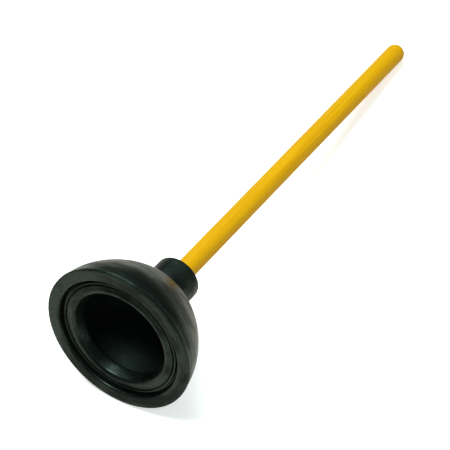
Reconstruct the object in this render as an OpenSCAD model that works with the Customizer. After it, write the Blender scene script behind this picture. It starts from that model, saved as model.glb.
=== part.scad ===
// Sink plunger: a rubber force cup with an inner lip, a moulded neck and a round screw-in handle.
// Millimetres. The origin is the centre of the lip face, which stands on the floor; +Z runs up the handle.

/* [Lip] */
// outside diameter of the cup at its lip
lip_diameter = 143; // [136:1:150]
// width of the flat sealing face
lip_face_width = 9.9; // [9:0.1:10.4]
// height of the straight band behind the lip face
lip_band_height = 4; // [3:0.5:5]
// thickness of the lip inside the bell
lip_thickness = 9.8; // [9.2:0.2:11]
// radius of the small rounds on the lip's edges
lip_edge_round = 0.6; // [0.4:0.1:0.6]
// height of the moulding line that runs round the lip
parting_height = 1.1; // [1:0.1:1.4]
// depth of that line
parting_depth = 0.6; // [0.3:0.1:0.8]

/* [Inner lip] */
// depth of the groove between the lip face and the inner lip
groove_depth = 6.4; // [5.6:0.2:6.8]
// how far the ridge beside the groove stands back from the lip face
ridge_setback = 3.4; // [3:0.1:3.8]
// depth of the valley between the ridge and the bead
valley_depth = 4.3; // [4:0.1:4.6]
// how far the bead stands back from the lip face
bead_setback = 1.8; // [1.4:0.1:2.4]
// radius of the clear hole that the inner lip leaves
mouth_radius = 42; // [40:0.5:43]
// height of the inner lip's free edge above the lip face
mouth_height = 13; // [12:0.5:15]

/* [Bell] */
// height that the bell's outer curve would reach on the axis
bell_height = 76; // [72:1:80]
// fullness of the bell's curve: 2 is an ellipse, less is straighter
bell_fullness = 1.66; // [1.56:0.02:1.9]
// step between the lip's band and the bell
bell_step = 0.8; // [0.4:0.1:1.6]
// thickness of the bell's wall at the lip
bell_wall = 5.5; // [4.5:0.5:6]
// thickness of the bell's wall at the neck
crown_wall = 7; // [6:0.5:8]

/* [Neck] */
// outside diameter of the neck
neck_diameter = 43; // [41:1:46]
// height of the neck's top above the lip face
neck_top = 97; // [94:1:100]
// height of the neck's underside, inside the bell
boss_bottom = 55; // [54:0.5:57]
// radius of the round on the neck's top edge
neck_round = 2.5; // [1.5:0.5:3]
// depth of the socket that holds the handle
socket_depth = 35; // [32:0.5:36]

/* [Handle] */
// diameter of the handle
handle_diameter = 19; // [18:0.5:20]
// height of the handle's top above the lip face
handle_top = 515; // [480:5:560]
// diameter of the handle's turned-down end, over its screw thread
thread_diameter = 18.4; // [17.6:0.2:18.6]
// radial running clearance between the thread and its socket
socket_clearance = 0.05; // [0.02:0.01:0.08]

/* [Hidden] */
round_fn = 120;
curve_steps = 24;
arc_steps = 6;
lip_r = lip_diameter / 2;
face_r = lip_r - lip_edge_round - lip_face_width;
face_round = 1.2;
groove_wall_lean = 1.5;
groove_slope = 1.3;
root_r = face_r - groove_wall_lean;
root_rise = 1.4;
groove_r = root_r - groove_slope;
ridge_inset = 3.2;
ridge_r = root_r - ridge_inset;
ridge_round = 0.6;
ridge_end = -150;
valley_start = 1.2;
valley_end = 2.6;
valley_outer_r = ridge_r - valley_start;
valley_inner_r = ridge_r - valley_end;
bead_inset = 7.6;
bead_r = ridge_r - bead_inset;
bead_round = 4;
bead_start = -50;
bead_end = -158;
flange_wall = 4.4;
flange_bend = 1.2;
tip_round = 1.3;
tip_start = 200;
tip_end = 20;
parting_half = 0.4;
bell_r = lip_r - bell_step;
inner_bell_r = bell_r - bell_wall;
inner_bell_height = bell_height - crown_wall;
neck_r = neck_diameter / 2;
handle_r = handle_diameter / 2;
thread_r = thread_diameter / 2;
socket_r = thread_r + socket_clearance;
socket_floor = neck_top - socket_depth;
socket_lead = 1.2;
end_gap = 0.5;
shoulder_gap = 0.5;
end_chamfer = 1.5;
boss_round = 4;
over = 1;
rubber_color = [0.10, 0.11, 0.10];
handle_color = [0.90, 0.68, 0.06];

// points along an arc in the half-section, radius first and height second
function arc(r, z, size, from, to) =
    [for (i = [0 : arc_steps]) let (a = from + (to - from) * i / arc_steps)
        [r + size * cos(a), z + size * sin(a)]];

// height of a bell curve that starts at radius r0 and height z0, at radius r
function bell_z(r0, z0, top, r) =
    z0 + (top - z0) * pow(1 - pow(r / r0, bell_fullness), 1 / bell_fullness);

// the same curve as points, from the lip up to radius r_end
function bell_curve(r0, z0, top, r_end) =
    let (last = acos(pow(r_end / r0, bell_fullness / 2)))
    [for (i = [0 : curve_steps]) let (a = last * i / curve_steps)
        [r0 * pow(cos(a), 2 / bell_fullness), z0 + (top - z0) * pow(sin(a), 2 / bell_fullness)]];

function backwards(list) = [for (i = [len(list) - 1 : -1 : 0]) list[i]];

// flat sealing ring: a low outer band with a moulding line, and a thicker inner part that closes the bell's foot
module lip() {
    color(rubber_color)
        rotate_extrude($fn = round_fn)
            polygon(concat(
                arc(lip_r - lip_edge_round, lip_edge_round, lip_edge_round, -90, 0),
                [[lip_r, parting_height - parting_half],
                 [lip_r - parting_depth, parting_height],
                 [lip_r, parting_height + parting_half]],
                arc(lip_r - lip_edge_round, lip_band_height - lip_edge_round, lip_edge_round, 0, 90),
                [[inner_bell_r, lip_band_height], [inner_bell_r, lip_thickness],
                 [root_r, lip_thickness], [root_r, groove_depth - root_rise]],
                arc(face_r, face_round, face_round, 180, 270)));
}

// stepped inner lip: groove, ridge, valley and bead, then a funnel that ends in a free edge inside the bell
module inner_lip() {
    color(rubber_color)
        rotate_extrude($fn = round_fn)
            polygon(concat(
                [[root_r, lip_thickness], [root_r, groove_depth - root_rise],
                 [groove_r, groove_depth], [ridge_r + ridge_round, groove_depth]],
                arc(ridge_r, ridge_setback + ridge_round, ridge_round, 0, ridge_end),
                [[valley_outer_r, valley_depth], [valley_inner_r, valley_depth]],
                arc(bead_r, bead_setback + bead_round, bead_round, bead_start, bead_end),
                arc(mouth_radius + tip_round, mouth_height - tip_round, tip_round, tip_start, tip_end),
                [[bead_r + flange_bend, bead_setback + bead_round + flange_bend],
                 [valley_inner_r, valley_depth + flange_wall], [ridge_r, lip_thickness]]));
}

// thin-walled dome between the lip and the neck, the part that folds down on a stroke
module bell() {
    color(rubber_color)
        rotate_extrude($fn = round_fn)
            polygon(concat(
                bell_curve(bell_r, lip_band_height, bell_height, neck_r),
                backwards(bell_curve(inner_bell_r, lip_thickness, inner_bell_height, neck_r)),
                [[inner_bell_r, lip_band_height]]));
}

// solid neck with a round boss inside the bell and a blind socket for the handle
module neck() {
    crown = bell_z(bell_r, lip_band_height, bell_height, neck_r);
    color(rubber_color)
        difference() {
            rotate_extrude($fn = round_fn)
                polygon(concat(
                    [[0, boss_bottom]],
                    arc(neck_r - boss_round, boss_bottom + boss_round, boss_round, -90, 0),
                    [[neck_r, crown]],
                    arc(neck_r - neck_round, neck_top - neck_round, neck_round, 0, 90),
                    [[0, neck_top]]));
            translate([0, 0, socket_floor])
                cylinder(r = socket_r, h = socket_depth + over, $fn = round_fn);
            translate([0, 0, neck_top - socket_lead])
                cylinder(r1 = socket_r, r2 = socket_r + socket_lead, h = socket_lead, $fn = round_fn);
        }
}

// round handle: a turned-down end in the socket, a shoulder just above the neck and a fully rounded top
module handle() {
    foot = socket_floor + end_gap;
    shoulder = neck_top + shoulder_gap;
    color(handle_color) {
        translate([0, 0, foot])
            cylinder(r1 = thread_r - end_chamfer, r2 = thread_r, h = end_chamfer, $fn = round_fn);
        translate([0, 0, foot + end_chamfer])
            cylinder(r = thread_r, h = shoulder - foot - end_chamfer, $fn = round_fn);
        translate([0, 0, shoulder])
            cylinder(r = handle_r, h = handle_top - handle_r - shoulder, $fn = round_fn);
        translate([0, 0, handle_top - handle_r])
            sphere(r = handle_r, $fn = round_fn);
    }
}

lip();
inner_lip();
bell();
neck();
handle();
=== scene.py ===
import math

import bmesh
import bpy
import numpy as np
from mathutils import Matrix, Vector


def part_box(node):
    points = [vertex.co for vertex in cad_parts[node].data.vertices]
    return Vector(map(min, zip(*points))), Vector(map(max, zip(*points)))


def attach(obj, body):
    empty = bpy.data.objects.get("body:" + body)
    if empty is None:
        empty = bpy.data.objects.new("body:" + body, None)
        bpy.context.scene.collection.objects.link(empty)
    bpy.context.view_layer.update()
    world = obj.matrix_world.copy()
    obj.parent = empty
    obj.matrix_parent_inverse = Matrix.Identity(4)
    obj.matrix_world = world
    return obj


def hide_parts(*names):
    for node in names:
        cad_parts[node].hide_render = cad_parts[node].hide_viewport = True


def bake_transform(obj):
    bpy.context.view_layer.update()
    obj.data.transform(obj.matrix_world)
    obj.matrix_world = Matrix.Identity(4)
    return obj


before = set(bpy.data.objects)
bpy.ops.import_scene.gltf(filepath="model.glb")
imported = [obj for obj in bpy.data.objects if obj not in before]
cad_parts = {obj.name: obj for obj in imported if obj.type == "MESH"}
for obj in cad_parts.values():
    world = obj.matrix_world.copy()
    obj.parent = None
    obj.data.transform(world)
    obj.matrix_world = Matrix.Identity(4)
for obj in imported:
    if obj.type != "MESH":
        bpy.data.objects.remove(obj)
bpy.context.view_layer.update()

# ---------------------------------------------------------------- sizes in metres, from the frame
MM = 0.001


def radii(node):
    """Smallest and largest distance of a CAD node's corners from the handle's axis."""
    away = [math.hypot(v.co.x, v.co.y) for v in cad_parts[node].data.vertices]
    return min(away), max(away)


def heights(node):
    """Lowest and highest point of a CAD node."""
    low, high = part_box(node)
    return low.z, high.z


ROOT_R, LIP_R = radii("lip")
MOUTH_R = radii("inner_lip")[0]
BELL_R = radii("bell")[1]
NECK_R = radii("neck")[1]
HANDLE_R = radii("handle")[1]
LIP_THICK = heights("lip")[1]
BEAD_Z, MOUTH_TOP = heights("inner_lip")
BELL_FOOT, CROWN_Z = heights("bell")
BOSS_Z, NECK_TOP = heights("neck")
HANDLE_FOOT, HANDLE_TOP = heights("handle")

# the bell's curve: a fullness of 2 is an ellipse, less is straighter
BELL_FULLNESS = 1.66
BELL_TOP = BELL_FOOT + (CROWN_Z - BELL_FOOT) / (
    1 - (NECK_R / BELL_R) ** BELL_FULLNESS
) ** (1 / BELL_FULLNESS)
BELL_WALL = 5.5 * MM
CROWN_WALL = 7 * MM
INNER_BELL_R = BELL_R - BELL_WALL
INNER_BELL_TOP = BELL_TOP - CROWN_WALL

# the stepped inner lip, from the groove inwards
FACE_R = ROOT_R + 1.5 * MM
FACE_ROUND = 1.2 * MM
GROOVE_DEPTH = 6.4 * MM
GROOVE_R = ROOT_R - 1.3 * MM
RIDGE_R = ROOT_R - 3.2 * MM
RIDGE_Z = 3.4 * MM
VALLEY_OUTER_R = RIDGE_R - 1.2 * MM
VALLEY_INNER_R = RIDGE_R - 2.6 * MM
VALLEY_Z = 4.3 * MM
BEAD_R = RIDGE_R - 7.6 * MM
BEAD_ROUND = 4 * MM
TIP_ROUND = 1.3 * MM
FLANGE_WALL = 4.4 * MM
FLANGE_BEND = 1.2 * MM

# a fine moulding line round the lip, just above its face
PARTING_Z = 1.1 * MM
PARTING_DEPTH = 0.8 * MM

THREAD_R = 9.2 * MM
THREAD_DEPTH = 1.1 * MM
THREAD_PITCH = 5 * MM
THREAD_LOW = HANDLE_FOOT + 2 * MM
THREAD_HIGH = NECK_TOP - 4 * MM
SOCKET_R = THREAD_R + 0.05 * MM
SOCKET_FLOOR = HANDLE_FOOT - 0.5 * MM

CUP_AROUND = 200
CUP_STEP = 2.4 * MM
HANDLE_AROUND = 96
HANDLE_STEP = 8 * MM
THREAD_STEP = 0.5 * MM
SAME_PLACE = 1e-6  # a step shorter than this share of the longest one is none


# ---------------------------------------------------------------- mesh building
def arc(r, z, size, start, end, steps):
    """Points along an arc in the half-section, angles in degrees."""
    turn = np.radians(np.linspace(start, end, steps + 1))
    return [(r + size * math.cos(a), z + size * math.sin(a)) for a in turn]


def rounded(corners, steps=6):
    """A half-section through corners (radius, height, reach). A smooth curve of that reach cuts each one."""
    pts = [np.array(c[:2], float) for c in corners]
    out = []
    for i, (r, z, reach) in enumerate(corners):
        if i in (0, len(corners) - 1) or reach <= 0:
            out.append((r, z))
            continue
        here = pts[i]
        ends = []
        for other in (pts[i - 1], pts[i + 1]):
            side = other - here
            length = np.linalg.norm(side)
            ends.append(here + side / length * min(reach, 0.49 * length))
        for t in np.linspace(0, 1, steps + 1):
            p = (1 - t) ** 2 * ends[0] + 2 * t * (1 - t) * here + t * t * ends[1]
            out.append((float(p[0]), float(p[1])))
    return out


def refine(profile, longest):
    """The same half-section with no step longer than that, and no point twice in a row."""
    out = [profile[0]]
    for a, b in zip(profile, profile[1:]):
        n = math.ceil(math.dist(a, b) / longest - SAME_PLACE)
        out += [
            (a[0] + (b[0] - a[0]) * k / n, a[1] + (b[1] - a[1]) * k / n)
            for k in range(1, n + 1)
        ]
    return out


def bell_curve(r0, z0, top, r_end, steps):
    """The bell's curve as points, from radius r0 up and in to radius r_end."""
    last = math.acos((r_end / r0) ** (BELL_FULLNESS / 2))
    power = 2 / BELL_FULLNESS
    return [
        (r0 * math.cos(a) ** power, z0 + (top - z0) * math.sin(a) ** power)
        for a in np.linspace(0, last, steps + 1)
    ]


def lathe(name, profile, around, shift):
    """A closed body of revolution. The profile's two ends lie on the axis, and
    shift(r, z, turn) moves the other points a little."""
    verts, faces = [(0, 0, profile[0][1])], []
    rings = profile[1:-1]
    for r, z in rings:
        for k in range(around):
            turn = 2 * math.pi * k / around
            rr, zz = shift(r, z, turn)
            verts.append((rr * math.cos(turn), rr * math.sin(turn), zz))
    verts.append((0, 0, profile[-1][1]))
    last = len(verts) - 1

    def at(ring, k):
        return 1 + ring * around + k % around

    for k in range(around):
        faces.append((0, at(0, k + 1), at(0, k)))
        faces.append((last, at(len(rings) - 1, k), at(len(rings) - 1, k + 1)))
        for i in range(len(rings) - 1):
            faces.append((at(i, k), at(i, k + 1), at(i + 1, k + 1), at(i + 1, k)))
    mesh = bpy.data.meshes.new(name)
    mesh.from_pydata(verts, [], faces)
    mesh.validate()
    mark_rest_place(mesh)
    face_outward(mesh)
    obj = bpy.data.objects.new(name, mesh)
    bpy.context.scene.collection.objects.link(obj)
    return obj


def mark_rest_place(mesh):
    """Stores where each point is at rest, for the materials."""
    rest = mesh.attributes.new("rest_place", "FLOAT_VECTOR", "POINT")
    places = np.zeros(len(mesh.vertices) * 3, np.float32)
    mesh.vertices.foreach_get("co", places)
    rest.data.foreach_set("vector", places)


def face_outward(mesh):
    """Turns the faces so that their normals point out of the solid, and shades them smooth."""
    bm = bmesh.new()
    bm.from_mesh(mesh)
    bmesh.ops.recalc_face_normals(bm, faces=bm.faces)
    bm.to_mesh(mesh)
    bm.free()
    mesh.shade_smooth()


# ---------------------------------------------------------------- rubber cup
def hollow():
    """The boss under the neck, then the bell's inside down to the lip."""
    boss = rounded([(0, BOSS_Z, 0), (NECK_R, BOSS_Z, 4 * MM), (NECK_R, BOSS_Z + 5 * MM, 0)])
    return boss + list(reversed(bell_curve(INNER_BELL_R, LIP_THICK, INNER_BELL_TOP, NECK_R, 36)))


def funnel():
    """The inner lip's back, its free edge, and the bead at its mouth."""
    back = rounded(
        [
            (INNER_BELL_R, LIP_THICK, 0),
            (RIDGE_R, LIP_THICK, 2 * MM),
            (VALLEY_INNER_R, VALLEY_Z + FLANGE_WALL, 2 * MM),
            (BEAD_R + FLANGE_BEND, BEAD_Z + BEAD_ROUND + FLANGE_BEND, 2 * MM),
            (MOUTH_R + 2 * TIP_ROUND, MOUTH_TOP - 0.6 * MM, 0),
        ]
    )
    tip = arc(MOUTH_R + TIP_ROUND, MOUTH_TOP - TIP_ROUND, TIP_ROUND, 20, 200, 10)
    bead = arc(BEAD_R, BEAD_Z + BEAD_ROUND, BEAD_ROUND, -158, -60, 16)
    return back + tip + bead


def lip_rings():
    """From the bead's outer side over the valley, ridge, groove and face to the foot of the bell."""
    valley = [
        (BEAD_R + 2.8 * MM, BEAD_Z + 0.95 * MM, 0),
        (VALLEY_INNER_R - 0.1 * MM, RIDGE_Z - 0.2 * MM, 0.7 * MM),
        (VALLEY_INNER_R + 0.4 * MM, VALLEY_Z + 0.6 * MM, 0.3 * MM),
        (VALLEY_OUTER_R - 0.4 * MM, VALLEY_Z + 0.6 * MM, 0.3 * MM),
        (VALLEY_OUTER_R, RIDGE_Z - 0.2 * MM, 0.4 * MM),
    ]
    ridge_and_groove = [
        (RIDGE_R + 0.5 * MM, RIDGE_Z, 0.5 * MM),
        (RIDGE_R + 0.7 * MM, GROOVE_DEPTH, 0.7 * MM),
        (GROOVE_R, GROOVE_DEPTH, 0.5 * MM),
        (ROOT_R, GROOVE_DEPTH - 1.4 * MM, 1.2 * MM),
        (ROOT_R + 0.3 * MM, FACE_ROUND, 1 * MM),
    ]
    face = [
        (FACE_R, 0, 1.1 * MM),
        (LIP_R - 3 * MM, 0, 1.5 * MM),
        (LIP_R - 0.4 * MM, 0.25 * MM, 0.5 * MM),
    ]
    parting_line = [
        (LIP_R, PARTING_Z - 0.45 * MM, 0.25 * MM),
        (LIP_R - PARTING_DEPTH, PARTING_Z, 0.15 * MM),
        (LIP_R, PARTING_Z + 0.55 * MM, 0.3 * MM),
    ]
    band = [
        (LIP_R, BELL_FOOT, 0.9 * MM),
        (BELL_R, BELL_FOOT + 0.15 * MM, 0.4 * MM),
        (BELL_R - 0.25 * MM, BELL_FOOT + 2.2 * MM, 0),
    ]
    return rounded(valley + ridge_and_groove + face + parting_line + band)


def outside():
    """The bell's outside above its foot, the neck, and the socket down to its floor."""
    dome = bell_curve(BELL_R, BELL_FOOT, BELL_TOP, NECK_R + 2 * MM, 40)
    neck = rounded(
        [
            (NECK_R + 1.6 * MM, CROWN_Z - 0.6 * MM, 0),
            (NECK_R, CROWN_Z + 0.8 * MM, 0.9 * MM),
            (NECK_R, NECK_TOP, 2.6 * MM),
            (SOCKET_R + 0.5 * MM, NECK_TOP, 0.8 * MM),
            (SOCKET_R, NECK_TOP - 1.3 * MM, 0.6 * MM),
            (SOCKET_R, SOCKET_FLOOR, 0.8 * MM),
            (0, SOCKET_FLOOR, 0),
        ]
    )
    return [p for p in dome if p[1] > BELL_FOOT + 2.4 * MM] + neck


def moulded(r, z, turn):
    """Slow unevenness of a thick rubber moulding, under half a millimetre."""
    lean = max(0.0, min(1.0, (r - NECK_R) / (LIP_R - NECK_R)))
    wave = 0.22 * math.sin(2 * turn + 0.7) + 0.12 * math.sin(5 * turn + 2.1)
    return r * (1 - 0.002 * lean * (1 - wave)), z


cup_section = hollow() + funnel() + lip_rings() + outside()
cup = lathe("rubber_cup", refine(cup_section, CUP_STEP), CUP_AROUND, moulded)
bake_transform(cup)
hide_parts("lip", "inner_lip", "bell", "neck")


# ---------------------------------------------------------------- handle
def threaded(r, z, turn):
    """A round-rooted screw thread on the end that sits in the socket."""
    if not THREAD_LOW < z < THREAD_HIGH or r < THREAD_R - 0.5 * MM:
        return r, z
    fade = min(1, (z - THREAD_LOW) / (2 * MM), (THREAD_HIGH - z) / (3 * MM))
    phase = (z / THREAD_PITCH - turn / (2 * math.pi)) % 1.0
    root = 0.5 + 0.5 * math.cos(2 * math.pi * phase)
    return r - THREAD_DEPTH * fade * root**1.5, z


def rod():
    """The handle's half-section: a chamfered foot, the threaded end, a shoulder and a domed top."""
    foot = rounded(
        [
            (0, HANDLE_FOOT, 0),
            (THREAD_R - 1.5 * MM, HANDLE_FOOT, 0.6 * MM),
            (THREAD_R, HANDLE_FOOT + 1.5 * MM, 0.6 * MM),
            (THREAD_R, THREAD_LOW, 0),
        ]
    )
    thread = [(THREAD_R, z) for z in np.arange(THREAD_LOW + THREAD_STEP, THREAD_HIGH, THREAD_STEP)]
    shoulder = rounded(
        [
            (THREAD_R, THREAD_HIGH, 0),
            (THREAD_R, NECK_TOP + 0.5 * MM, 0.2 * MM),
            (HANDLE_R, NECK_TOP + 0.6 * MM, 0.2 * MM),
            (HANDLE_R, NECK_TOP + 4 * MM, 0),
        ]
    )
    dome = arc(0, HANDLE_TOP - HANDLE_R, HANDLE_R, 0, 89.5, 20)
    return foot + thread + shoulder + dome + [(0, HANDLE_TOP)]


handle = lathe("handle_rod", refine(rod(), HANDLE_STEP), HANDLE_AROUND, threaded)
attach(handle, "handle")
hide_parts("handle")


# ---------------------------------------------------------------- node building
class Tree:
    """Short calls that build the nodes of one material or of the world."""

    def __init__(self, owner):
        owner.use_nodes = True
        self.nodes, self.links = owner.node_tree.nodes, owner.node_tree.links

    def feed(self, socket, value):
        """Links an output to an input, or sets the input's value."""
        if isinstance(value, bpy.types.NodeSocket):
            self.links.new(value, socket)
        else:
            socket.default_value = value

    def put(self, kind, inputs, output=0, **settings):
        """Adds a node and gives back one of its outputs."""
        node = self.nodes.new("ShaderNode" + kind)
        for key, value in settings.items():
            setattr(node, key, value)
        for key, value in inputs.items():
            self.feed(node.inputs[key], value)
        return node.outputs[output]

    def place(self, scale=(1, 1, 1)):
        """The piece's own place at rest, so that a pattern stays on the surface in every pose."""
        place = self.put("Attribute", {}, "Vector", attribute_name="rest_place")
        return self.put("Mapping", {"Vector": place, "Scale": scale})

    def noise(self, where, scale, detail, roughness=0.5):
        settings = {"Vector": where, "Scale": scale, "Detail": detail, "Roughness": roughness}
        return self.put("TexNoise", settings, "Fac")

    def math(self, operation, first, second):
        return self.put("Math", {0: first, 1: second}, operation=operation)

    def vector(self, operation, inputs, output="Vector"):
        return self.put("VectorMath", inputs, output, operation=operation)

    def span(self, value, low, high, to_low, to_high):
        """Maps low..high to to_low..to_high and stays within it."""
        limits = {"From Min": low, "From Max": high, "To Min": to_low, "To Max": to_high}
        return self.put("MapRange", {"Value": value, **limits})

    def mix(self, factor, first, second):
        inputs = {"Factor": factor, "A": first, "B": second}
        return self.put("Mix", inputs, "Result", data_type="FLOAT")

    def ramp(self, factor, low, low_colour, high, high_colour):
        output = self.put("ValToRGB", {"Fac": factor}, "Color")
        stops = output.node.color_ramp.elements
        for stop, place, colour in zip(stops, (low, high), (low_colour, high_colour)):
            stop.position = place
            stop.color = (*colour, 1)
        return output

    def bump(self, height, distance, under=None):
        inputs = {"Height": height, "Distance": distance, "Strength": 1.0}
        if under is not None:
            inputs["Normal"] = under
        return self.put("Bump", inputs)


def material(name):
    """A new material, its tree, and a call that feeds its shader's inputs."""
    mat = bpy.data.materials.new(name)
    tree = Tree(mat)
    shader = tree.nodes["Principled BSDF"]

    def shade(key, value):
        tree.feed(shader.inputs[key], value)

    return mat, tree, shade


# ---------------------------------------------------------------- materials
RUBBER_CLEAN = (0.0014, 0.002, 0.0015)
RUBBER_BLOOM = (0.0052, 0.0072, 0.0055)
RUBBER_GLINT = (0.7, 1, 0.88, 1)
SMUDGE_REACH = 22 * MM
SMUDGE_START = 0.8
SMUDGE_SCALE = 70
SPECK_SCALE = 420
GRAIN_SCALE = 2600
LACQUER_DEEP = (0.635, 0.3, 0.0012)
LACQUER_PALE = (0.7, 0.365, 0.0018)
LACQUER_STRETCH = (1, 1, 0.03)


def within_wall(tree, radius, height):
    """1 on the inner side of the bell's wall and 0 outside, from a superellipse between its two faces."""
    mid_r = (BELL_R + INNER_BELL_R) / 2
    mid_top = (BELL_TOP + INNER_BELL_TOP) / 2
    across = tree.math("POWER", tree.span(radius, 0, mid_r, 0, 1), BELL_FULLNESS)
    up_wall = tree.math("POWER", tree.span(height, BELL_FOOT, mid_top, 0, 1), BELL_FULLNESS)
    return tree.span(tree.math("ADD", across, up_wall), 0.97, 1.03, 1, 0)


def moulded_rubber():
    mat, tree, shade = material("moulded_rubber")
    where = tree.place()
    split = tree.put("SeparateXYZ", {"Vector": where}).node.outputs
    height = split["Z"]
    flat = tree.put("CombineXYZ", {"X": split["X"], "Y": split["Y"]})
    radius = tree.vector("LENGTH", {0: flat}, "Value")
    # smudges run round the moulding: slow along the turn, quicker across it
    way = tree.vector("NORMALIZE", {0: flat})
    along = tree.vector("SCALE", {0: way, "Scale": SMUDGE_REACH})
    across = tree.put("CombineXYZ", {"X": SMUDGE_START, "Z": tree.math("SUBTRACT", height, radius)})
    smudge = tree.noise(tree.vector("ADD", {0: along, 1: across}), SMUDGE_SCALE, 4, 0.55)
    speck = tree.noise(where, SPECK_SCALE, 3, 0.65)
    bloom = tree.math(
        "MULTIPLY", tree.span(smudge, 0.42, 0.58, 0, 1), tree.span(speck, 0.35, 0.62, 0.55, 1)
    )
    # the side of the moulding that the core formed is duller than the outside
    above_mouth = tree.span(height, MOUTH_TOP - 3 * MM, MOUTH_TOP + 1 * MM, 0, 1)
    inside = tree.math("MULTIPLY", above_mouth, within_wall(tree, radius, height))
    uneven = tree.bump(tree.noise(where, 120, 2), 0.25 * MM)
    shade("Base Color", tree.ramp(bloom, 0, RUBBER_CLEAN, 1, RUBBER_BLOOM))
    shade("Roughness", tree.mix(inside, tree.span(bloom, 0, 1, 0.42, 0.25), 0.5))
    shade("Specular IOR Level", tree.mix(inside, tree.span(bloom, 0, 1, 0.17, 0.47), 0.1))
    shade("Normal", tree.bump(tree.noise(where, GRAIN_SCALE, 2), 0.02 * MM, uneven))
    shade("IOR", 1.5)
    shade("Specular Tint", RUBBER_GLINT)
    return mat


def yellow_lacquer():
    mat, tree, shade = material("yellow_lacquer")
    along = tree.place(LACQUER_STRETCH)
    shade("Base Color", tree.ramp(tree.noise(along, 400, 3), 0.3, LACQUER_DEEP, 0.7, LACQUER_PALE))
    shade("Roughness", tree.span(tree.noise(tree.place(), 60, 3), 0.3, 0.7, 0.42, 0.56))
    shade("Normal", tree.bump(tree.noise(along, 260, 2), 0.12 * MM))
    shade("Specular IOR Level", 0.1)
    return mat


cup.data.materials.append(moulded_rubber())
handle.data.materials.append(yellow_lacquer())

# ---------------------------------------------------------------- floor that the plunger lies on
# It touches the lip's edge and the domed end of the handle, on the +Y side, but for a small gap.
FLOOR_GAP = 1 * MM
FLOOR_HALF = 4.0
FLOOR_SEEN = (0.9, 0.9, 0.9)
FLOOR_BOUNCE = (0.45, 0.4, 0.34)
FLOOR_SEEN_GLOW = 0.55
FLOOR_BOUNCE_GLOW = 0.33

reach = HANDLE_TOP - HANDLE_R
tilt = math.acos(HANDLE_R / math.hypot(LIP_R, reach)) - math.atan2(reach, LIP_R)
floor_up = Vector((0, -math.cos(tilt), -math.sin(tilt)))
floor_along = Vector((0, -math.sin(tilt), math.cos(tilt)))
floor_side = floor_up.cross(floor_along)


def pale_floor():
    """Near white to the camera, softly glowing to the object, and clear from below."""
    mat, tree, shade = material("pale_floor")
    seen = tree.put("LightPath", {}, "Is Camera Ray")
    shade("Roughness", 0.9)
    shade("Specular IOR Level", 0.0)
    shade("Base Color", tree.ramp(seen, 0, FLOOR_BOUNCE, 1, FLOOR_SEEN))
    shade("Emission Color", (1, 1, 1, 1))
    shade("Emission Strength", tree.span(seen, 0, 1, FLOOR_BOUNCE_GLOW, FLOOR_SEEN_GLOW))
    below = tree.put("NewGeometry", {}, "Backfacing")
    clear = tree.put("BsdfTransparent", {})
    solid = tree.nodes["Principled BSDF"].outputs["BSDF"]
    one_sided = tree.put("MixShader", {"Fac": below, 1: solid, 2: clear})
    tree.feed(tree.nodes["Material Output"].inputs["Surface"], one_sided)
    return mat


def lay_floor():
    centre = Vector((0, LIP_R, 0)) - floor_up * FLOOR_GAP
    corners = [
        centre + (floor_along * a + floor_side * s) * FLOOR_HALF
        for a, s in ((-1, -1), (-1, 1), (1, 1), (1, -1))
    ]
    mesh = bpy.data.meshes.new("floor")
    mesh.from_pydata([tuple(c) for c in corners], [], [(0, 1, 2, 3)])
    if mesh.polygons[0].normal.dot(floor_up) < 0:
        mesh.flip_normals()
    mesh.materials.append(pale_floor())
    floor = bpy.data.objects.new("floor", mesh)
    bpy.context.scene.collection.objects.link(floor)


lay_floor()

# ---------------------------------------------------------------- camera
CAMERA_RISE = math.radians(47.2)  # above the floor
CAMERA_TURN = math.radians(31.7)  # of the handle from the way the camera faces
CAMERA_AWAY = 1.7725
LENS = 156.7
AIM = Vector((-2.2, -1.2, 178.5)) * MM

ahead = (floor_along * math.cos(CAMERA_TURN) + floor_side * math.sin(CAMERA_TURN)).normalized()
looking = ahead * math.cos(CAMERA_RISE) - floor_up * math.sin(CAMERA_RISE)
right = looking.cross(floor_up).normalized()


def set_camera():
    data = bpy.data.cameras.new("camera")
    data.lens = LENS
    data.sensor_width = 36
    data.clip_end = 50
    camera = bpy.data.objects.new("camera", data)
    bpy.context.scene.collection.objects.link(camera)
    turn = Matrix((right, right.cross(looking), -looking)).transposed().to_4x4()
    camera.matrix_world = Matrix.Translation(AIM - looking * CAMERA_AWAY) @ turn
    bpy.context.scene.camera = camera


set_camera()

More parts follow.
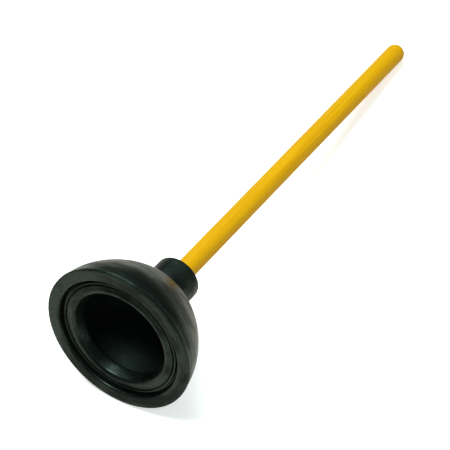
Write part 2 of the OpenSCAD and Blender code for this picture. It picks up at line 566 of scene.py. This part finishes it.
# ---------------------------------------------------------------- soft studio light
STUDIO_TINT = (0.88, 1.0, 0.96)
LIGHTS_AIM = Vector((0, 0, 0.2))
SKY_LOW, SKY_HIGH = 0.3, 0.8  # sine of the rise at which the room starts and stops getting lighter
SKY_DARK, SKY_LIGHT = 0.03, 0.45


def softbox(name, way, distance, size, power):
    """A square light that faces the plunger from that way. Size is its side, power is in watts."""
    data = bpy.data.lights.new(name, "AREA")
    data.shape = "SQUARE"
    data.size = size
    data.energy = power
    data.color = STUDIO_TINT
    light = bpy.data.objects.new(name, data)
    bpy.context.scene.collection.objects.link(light)
    way = way.normalized()
    light.location = LIGHTS_AIM + way * distance
    light.rotation_mode = "QUATERNION"
    light.rotation_quaternion = way.to_track_quat("Z", "Y")


def studio_world():
    """White to the camera. To the object it is dark at the horizon and lighter overhead."""
    world = bpy.data.worlds.new("studio")
    bpy.context.scene.world = world
    tree = Tree(world)
    room = tree.nodes["Background"]
    direction = tree.put("TexCoord", {}, "Generated")
    rise = tree.vector("DOT_PRODUCT", {0: direction, 1: floor_up}, "Value")
    tree.feed(room.inputs["Color"], (*STUDIO_TINT, 1))
    tree.feed(room.inputs["Strength"], tree.span(rise, SKY_LOW, SKY_HIGH, SKY_DARK, SKY_LIGHT))
    white = tree.put("Background", {"Color": (1, 1, 1, 1), "Strength": 1.0})
    seen = tree.put("LightPath", {}, "Is Camera Ray")
    both = tree.put("MixShader", {"Fac": seen, 1: room.outputs["Background"], 2: white})
    tree.feed(tree.nodes["World Output"].inputs["Surface"], both)


softbox("main", floor_up * 0.87 + ahead * 0.42 - right * 0.22, 2.0, 1.3, 37)
softbox("top", floor_up * 0.91 - ahead * 0.26 - right * 0.31, 1.5, 0.26, 9)
softbox("side", floor_up * 0.5 - ahead * 0.3 + right * 0.8, 2.0, 1.0, 8)
softbox("fill", floor_up * 0.3 - ahead * 0.77 + right * 0.8, 2.0, 1.0, 4)
studio_world()

bpy.context.scene.view_settings.view_transform = "Standard"
bpy.context.scene.view_settings.look = "None"
